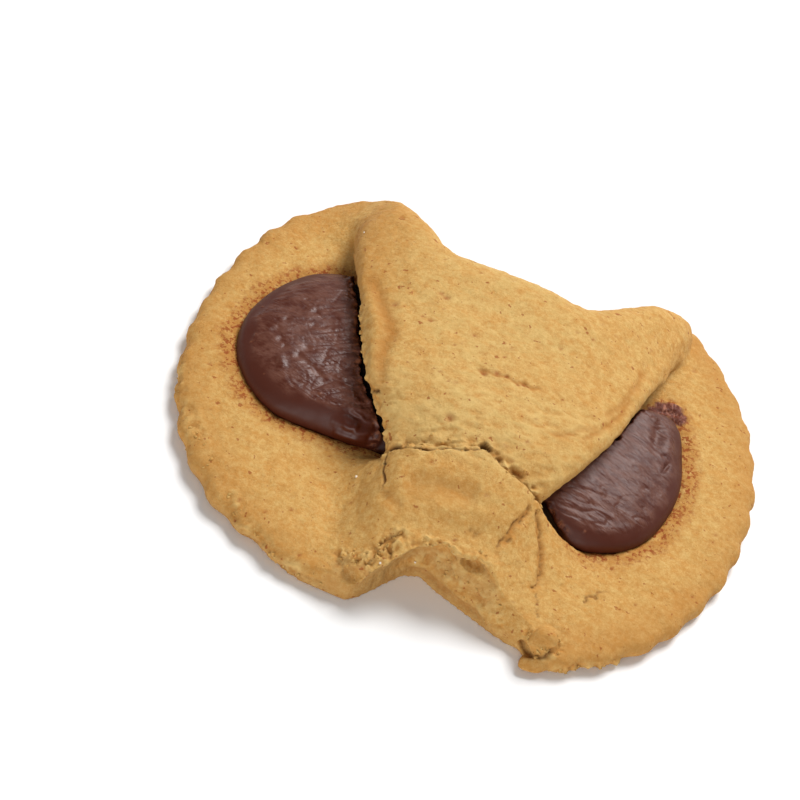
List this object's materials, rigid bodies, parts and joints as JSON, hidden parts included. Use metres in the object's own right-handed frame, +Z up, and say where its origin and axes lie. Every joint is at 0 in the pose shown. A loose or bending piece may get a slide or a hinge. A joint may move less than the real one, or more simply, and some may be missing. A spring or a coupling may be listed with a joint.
{
  "type": "hazelnut cream biscuit",
  "caption": "Small round biscuit with a fluted rim, its opposite sides folded over a pool of chocolate hazelnut cream that shows at the open ends",
  "frame": {"origin": "middle of the dough round, on the flat underside that the biscuit rests on", "axes": "+X runs through the two open ends where the cream shows, +Y points to the wide fold, +Z points up from the surface it rests on"},
  "size_m": [0.0785, 0.0693, 0.0152],
  "materials": {
    "baked_dough": null,
    "hazelnut_cream": null
  },
  "bodies": {
    "root": {"biscuit_dough": "baked_dough", "hazelnut_cream": "hazelnut_cream"}
  },
  "joints": []
}
